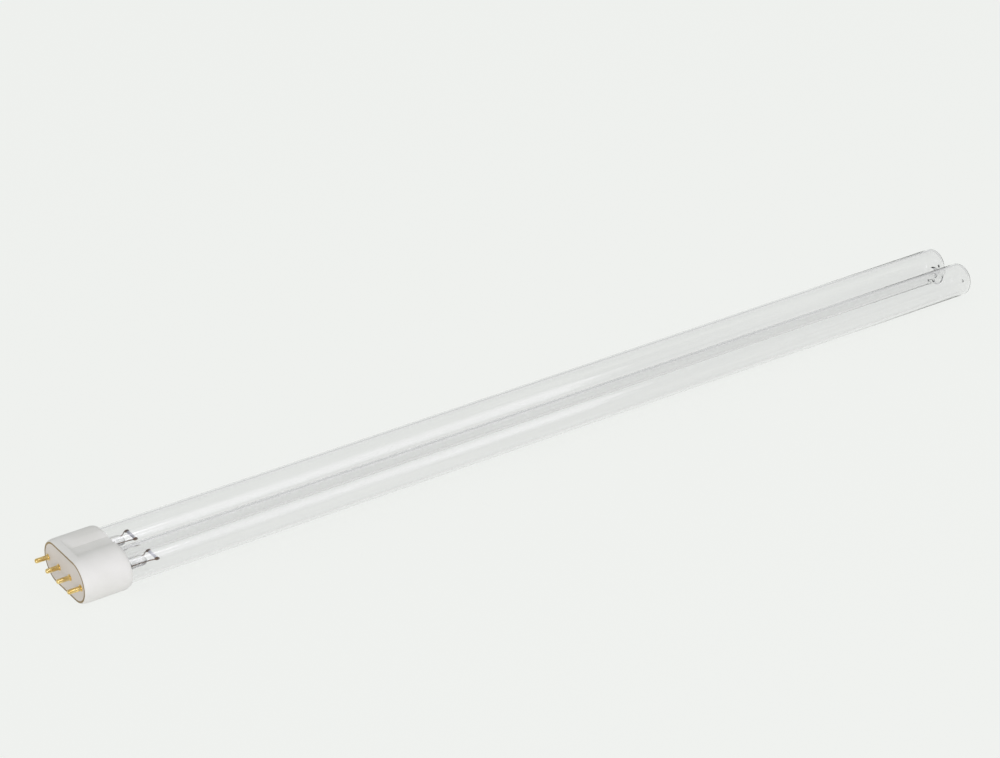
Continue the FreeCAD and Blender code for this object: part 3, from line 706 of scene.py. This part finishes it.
def makeCoil(name, side, node):
    carrier = linkObject(name + "Carrier", bpy.data.meshes.new(name + "Carrier"))
    winding = carrier.modifiers.new("winding", "NODES")
    winding.node_group = coilTree
    values = {
        "Turns": float(coil["turns"]), "Radius": coil["radius"] * mm, "Length": coil["length"] * mm,
        "Wire radius": coil["wireRadius"] * mm, "Steps": coil["stepsPerTurn"], "Finish": coilCoating,
    }
    for item in coilTree.interface.items_tree:
        if item.in_out == "INPUT" and item.name in values:
            winding[item.identifier] = values[item.name]
    wound = bakeModifiers(carrier)
    middleY = side * limb["axis"] + stem["offset"] + lead["coilOffset"]
    corner = Vector((coil["place"] - coil["radius"], middleY - coil["length"] / 2, 0)) * mm
    wound.transform(Matrix.Translation(corner) @ Matrix.Rotation(-math.pi / 2, 4, "X"))
    bm = bmesh.new()
    bm.from_mesh(wound)
    bpy.data.meshes.remove(wound)
    section = circlePoints(coil["legRadius"], coil["sides"])
    for end in (-1, 1):
        inner = middleY + end * (coil["length"] / 2 - coil["legLap"])
        outer = middleY + end * (coil["length"] / 2 + coil["legLength"])
        rings = [[(coil["place"] + across, y, up) for across, up in section] for y in (inner, outer)]
        skinRings(bm, [[(coil["place"], inner, 0)], *rings, [(coil["place"], outer, 0)]])
    makePiece(name, finishMesh(name, bm), coilCoating, node)


makeCoil("coil_rear", 1, "filament_rear")
makeCoil("coil_front", -1, "filament_front")
print("coils wound")


# Pins: round shank with a domed tip, a ring of crimp dents at the root and a thin collar
pin = {
    "radius": 1.175,
    "length": 6.9,
    "tipRound": 0.85,
    "tipSteps": 10,
    "collarRadius": 1.65,
    "collarThickness": 0.4,
    "collarEdge": 0.08,
    "crimpStart": 0.7,
    "crimpEnd": 3.4,
    "crimpDepth": 0.16,
    "crimpCount": 8,
    "crimpRise": 5,          # a dent reaches its full depth over a fifth of its length
    "crimpBreadth": 0.7,     # under 1 makes the dents broader round the pin
    "crimpMargin": 0.05,     # plain shank kept apart from the dents
    "crimpRings": 28,
    "gripRadius": 1.08,      # inside the plate
    "gripEnd": 3.8,
    "steps": 96,
    "sharpDegrees": 40,
}


def crimpDepth(x, turn):
    along = (-x - pin["crimpStart"]) / (pin["crimpEnd"] - pin["crimpStart"])
    if not 0 < along < 1:
        return 0.0
    lengthwise = min(1.0, pin["crimpRise"] * along, pin["crimpRise"] * (1 - along))
    around = max(0.0, math.cos(pin["crimpCount"] * turn)) ** pin["crimpBreadth"]
    return pin["crimpDepth"] * lengthwise * around


def makePin(number):
    axisY, tip, radius = pinPlace(number), pin["tipRound"], pin["radius"]
    crimpEnd, count, edge = pin["crimpEnd"], pin["crimpRings"], pin["collarEdge"]
    profile = [(-pin["length"], 0.0)]
    profile += arcPoints((tip - pin["length"], radius - tip), tip, math.pi, math.pi / 2, pin["tipSteps"])
    profile += [(-crimpEnd - pin["crimpMargin"], radius)]
    profile += [(-crimpEnd + (crimpEnd - pin["crimpStart"]) * i / count, radius) for i in range(count + 1)]
    profile += [(-pin["collarThickness"], radius), (-pin["collarThickness"], pin["collarRadius"] - edge)]
    profile += [(-pin["collarThickness"] + edge, pin["collarRadius"]), (0.0, pin["collarRadius"])]
    profile += [(0.0, pin["gripRadius"]), (pin["gripEnd"], pin["gripRadius"]), (pin["gripEnd"], 0.0)]
    rings = []
    for x, ringRadius in profile:
        if ringRadius == 0.0:
            rings.append([(x, axisY, 0.0)])
            continue
        ring = []
        for i in range(pin["steps"]):
            turn = 2 * math.pi * i / pin["steps"]
            r = ringRadius - crimpDepth(x, turn)
            ring.append((x, axisY + r * math.cos(turn), r * math.sin(turn)))
        rings.append(ring)
    bm = bmesh.new()
    skinRings(bm, rings)
    name = "pin_%d" % number
    mesh = finishMesh(name, bm, pin["sharpDegrees"])
    makePiece(name, mesh, pinBrass, "contact_pin_%d" % number)


for number in (1, 2, 3, 4):
    makePin(number)
print("pins made")


# Base shell: two barrels joined as one moulding, with a rounded front rim, a flat valley above and below
# and a rounded rear collar
shell = {
    "axis": 9.83,            # of each barrel, from the middle line
    "radius": 11.33,
    "length": 24.8,
    "rimRadius": 10.3,       # outer radius at the base face
    "rimDepth": 3.8,
    "rimRoundness": 2.0,     # 1 is a straight taper, 2 a quarter ellipse
    "rimRings": 14,
    "barrelRings": (8.0, 14.0, 19.0),
    "shoulder": 21.8,
    "lipRadius": 9.6,
    "collarRoundness": 1.6,
    "collarRings": 12,
    "valleyStart": 3.6,
    "valleyFloor": 9.2,
    "valleyTop": 14.0,       # of the cutting body, clear of the shell
    "valleySteps": 24,
    "recessRadius": 10.15,
    "recessDepth": 2.2,
    "recessPast": 1.0,       # how far its cutting body reaches out of the base face
    "cavitySide": 17.975,
    "cavityHalf": 4.5,
    "cavityStart": 1.0,
    "socketRadius": 9.1,
    "socketFloor": 11.98,
    "socketSteps": 128,
    "cutPast": 2.0,          # how far the other cutting bodies reach past the collar
    "weld": 0.002,           # points nearer than this are one
    "flatDegrees": 0.5,      # faces that turn less than this become one
    "softEdge": 0.22,
    "softSegments": 3,
    "softDegrees": 25,       # edges that turn more than this are softened
    "arcSteps": 72,
    "sharpDegrees": 30,
}


def stadiumRing(x, axis, radius):
    steps = shell["arcSteps"]
    ring = []
    for side, first in ((1, -math.pi / 2), (-1, math.pi / 2)):
        for y, z in arcPoints((side * axis, 0), radius, first, first + math.pi, steps):
            ring.append((x, y, z))
    return ring


def prismRings(outline, fromX, toX):
    return [[(x, y, z) for y, z in outline] for x in (fromX, toX)]


def quarterCurve(roundness, count):
    # (along, rise) pairs from (0, 0) to (1, 1): a superellipse quarter that starts steep and ends level
    turns = [math.pi / 2 * i / count for i in range(count + 1)]
    return [(1 - math.cos(turn) ** (2 / roundness), math.sin(turn) ** (2 / roundness)) for turn in turns]


def valleyOutline(side):
    # between the barrels' own curves, from the valley floor up and out
    axis, radius, count = shell["axis"], shell["radius"], shell["valleySteps"]
    foot = math.asin(shell["valleyFloor"] / radius)
    rear = arcPoints((axis, 0), radius, math.pi - foot, math.pi / 2, count)
    front = arcPoints((-axis, 0), radius, math.pi / 2, foot, count)
    lid = [(axis, shell["valleyTop"]), (-axis, shell["valleyTop"])]
    return [(y, side * z) for y, z in rear + lid + front]


def shellSections():
    # (x, axis, radius) from the base face to the end of the collar
    axis, radius, length = shell["axis"], shell["radius"], shell["length"]
    sections = []
    for along, rise in quarterCurve(shell["rimRoundness"], shell["rimRings"]):
        rimRadius = shell["rimRadius"] + (radius - shell["rimRadius"]) * rise
        sections.append((shell["rimDepth"] * along, axis, rimRadius))
    sections += [(x, axis, radius) for x in shell["barrelRings"]]
    for along, rise in reversed(quarterCurve(shell["collarRoundness"], shell["collarRings"])):
        sections.append((
            length - (length - shell["shoulder"]) * along,
            limb["axis"] + (axis - limb["axis"]) * rise,
            shell["lipRadius"] + (radius - shell["lipRadius"]) * rise,
        ))
    return sections


def makeShell():
    side, half, past = shell["cavitySide"], shell["cavityHalf"], shell["length"] + shell["cutPast"]
    floorX, bore = shell["socketFloor"], shell["socketRadius"]
    cavity = [(-side, -half), (side, -half), (side, half), (-side, half)]
    recessEnds = (-shell["recessPast"], shell["recessDepth"])
    bodies = [
        cappedBlock("valleyAbove", prismRings(valleyOutline(1), shell["valleyStart"], past)),
        cappedBlock("valleyBelow", prismRings(valleyOutline(-1), shell["valleyStart"], past)),
        cappedBlock("recess", [stadiumRing(x, shell["axis"], shell["recessRadius"]) for x in recessEnds]),
        cappedBlock("cavity", prismRings(cavity, shell["cavityStart"], floorX)),
    ]
    socket = [(floorX, 0.0), (floorX, bore), (past, bore), (past, 0.0)]
    for axisY in (limb["axis"], -limb["axis"]):
        bodies.append(latheObject("socket", socket, axisY, shell["socketSteps"]))
    blank = cappedBlock("shellOutside", [stadiumRing(*section) for section in shellSections()])
    return combine(blank, [("DIFFERENCE", body) for body in bodies])


def softenEdges(mesh, name):
    # narrow round along every edge, as a mould leaves it
    bm = bmesh.new()
    bm.from_mesh(mesh)
    bmesh.ops.remove_doubles(bm, verts=bm.verts, dist=shell["weld"] * mm)
    flat = math.radians(shell["flatDegrees"])
    bmesh.ops.dissolve_limit(bm, angle_limit=flat, verts=bm.verts, edges=bm.edges)
    bm.to_mesh(mesh)
    bm.free()
    carrier = linkObject(name, mesh)
    soften = carrier.modifiers.new("soften", "BEVEL")
    soften.width = shell["softEdge"] * mm
    soften.segments = shell["softSegments"]
    soften.limit_method = "ANGLE"
    soften.angle_limit = math.radians(shell["softDegrees"])
    made = bakeModifiers(carrier)
    made.name = name
    smoothMesh(made, shell["sharpDegrees"])
    return made


makePiece("base_shell", softenEdges(makeShell(), "base_shell"), basePlastic, "base_housing")
print("base shell made")


# Adhesive: a cured bead that stands level with the rim all round the plate
bead = {
    "plateRadius": 9.77,
    "rimRadius": 10.13,
    "smear": 0.3,            # how far the bead laps over the plate and the rim
    "depth": 1.7,
    "neck": 0.1,             # depth at which the bead fills the gap alone
    "proud": 0.08,
    "lift": 0.01,            # lapping edge above the plate
    "rounds": 8,
    "sharpDegrees": 50,
}


def makeBead():
    inner, outer = bead["plateRadius"], bead["rimRadius"]
    middle, half = (inner + outer) / 2, (outer - inner) / 2 + bead["smear"]
    profile = [(bead["depth"], inner), (bead["neck"], inner)]
    for i in range(bead["rounds"] + 1):
        turn = math.pi * i / bead["rounds"]
        profile.append((-bead["lift"] - bead["proud"] * math.sin(turn), middle - half * math.cos(turn)))
    profile += [(bead["neck"], outer), (bead["depth"], outer)]
    bm = bmesh.new()
    skinRings(bm, [stadiumRing(x, shell["axis"], radius) for x, radius in profile], closed=True)
    mesh = finishMesh("adhesive_bead", bm, bead["sharpDegrees"])
    makePiece("adhesive_bead", mesh, brownResin, "end_plate_adhesive")


makeBead()
print("adhesive bead made")


# The other CAD nodes stay as they are and take their materials
for node, material in (
    ("base_end_plate", platePlastic),
    ("cement_rear", bakedCement),
    ("cement_front", bakedCement),
    ("amalgam_pellet", dullAmalgam),
):
    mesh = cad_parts[node].data
    mesh.materials.clear()
    mesh.materials.append(material)
